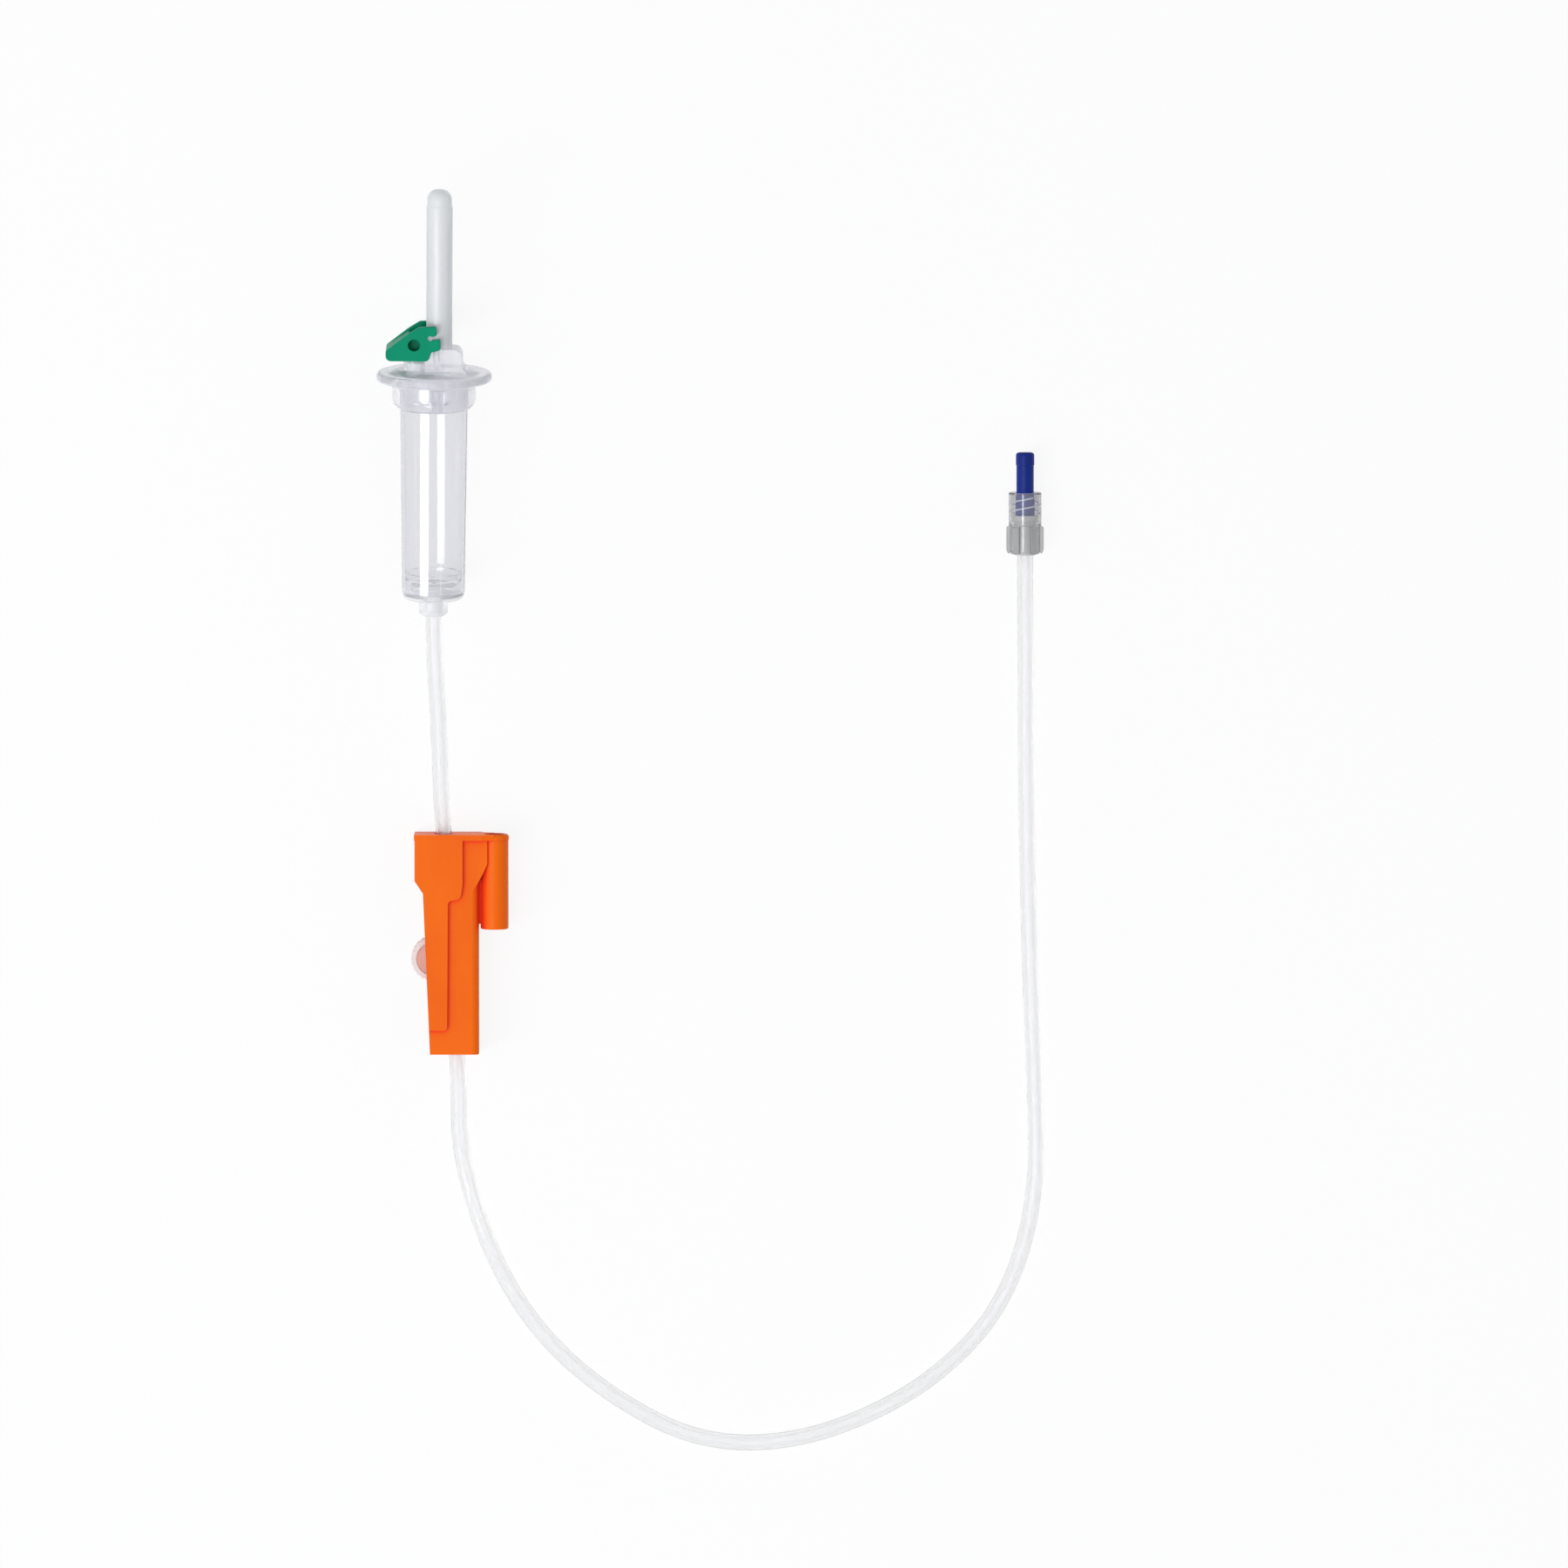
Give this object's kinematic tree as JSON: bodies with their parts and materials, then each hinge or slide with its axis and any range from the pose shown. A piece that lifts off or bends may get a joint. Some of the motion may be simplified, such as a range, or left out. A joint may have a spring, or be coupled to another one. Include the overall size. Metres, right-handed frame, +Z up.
{
  "type": "infusion set",
  "caption": "Gravity infusion set laid flat: covered vented spike, drip chamber, roller clamp and clear tubing to a capped luer lock end.",
  "frame": {"origin": "under the middle of the rigid pieces, on the surface the set lies on", "axes": "+Y along the set towards the spike end, +X towards the luer end, +Z up from the table"},
  "size_m": [0.191, 0.3638, 0.0328],
  "materials": {
    "milky_cover": "milky translucent moulding",
    "clear_cap": "clear moulding with a faint lavender cast",
    "membrane_white": "fine white membrane",
    "green_lever": "green moulding",
    "nozzle_grey": "clear moulding",
    "clear_barrel": "clear flexible moulding",
    "filter_mesh": "fine white mesh",
    "clear_base": "clear flexible moulding",
    "orange_body": "satin orange moulding",
    "wheel_white": "translucent white moulding",
    "luer_white": "translucent white moulding",
    "clear_collar": "clear moulding",
    "blue_cap": "deep blue moulding",
    "cap_membrane_white": "fine white membrane",
    "clear_tube": "clear flexible extrusion"
  },
  "bodies": {
    "line": {"spike_body": "clear_cap", "vent_membrane": "membrane_white", "drop_nozzle": "nozzle_grey", "chamber_barrel": "clear_barrel", "fluid_filter": "filter_mesh", "chamber_base": "clear_base", "tubing": "clear_tube", "clamp_housing": "orange_body", "luer_body": "luer_white"},
    "cover": {"spike_cover": "milky_cover"},
    "vent_lever": {"vent_cap": "green_lever"},
    "roller": {"roller_wheel": "wheel_white"},
    "collar": {"luer_collar": "clear_collar"},
    "cap": {"end_cap": "blue_cap", "end_cap_membrane": "cap_membrane_white"}
  },
  "joints": [
    {"name": "cover_slide", "type": "slide", "parent": "line", "child": "cover", "axis": [0.0069, 0.9927, 0.12], "range_m": [0, 0.06]},
    {"name": "vent_hinge", "type": "hinge", "parent": "line", "child": "vent_lever", "pos_m": [-0.07986, 0.08237, 0.01784], "axis": [0.0008, 0.12, -0.9928], "range_deg": [0, 50]},
    {"name": "roller_slide", "type": "slide", "parent": "line", "child": "roller", "axis": [-0.041, 0.9992, 0], "range_m": [-0.016, 0.012], "deforming": ["tubing"]},
    {"name": "collar_turn", "type": "hinge", "parent": "line", "child": "collar", "pos_m": [0.09005, 0.01911, 0.00508], "axis": [0, 1, 0], "continuous": true},
    {"name": "cap_slide", "type": "slide", "parent": "line", "child": "cap", "axis": [0, 1, 0], "range_m": [0, 0.025]}
  ]
}
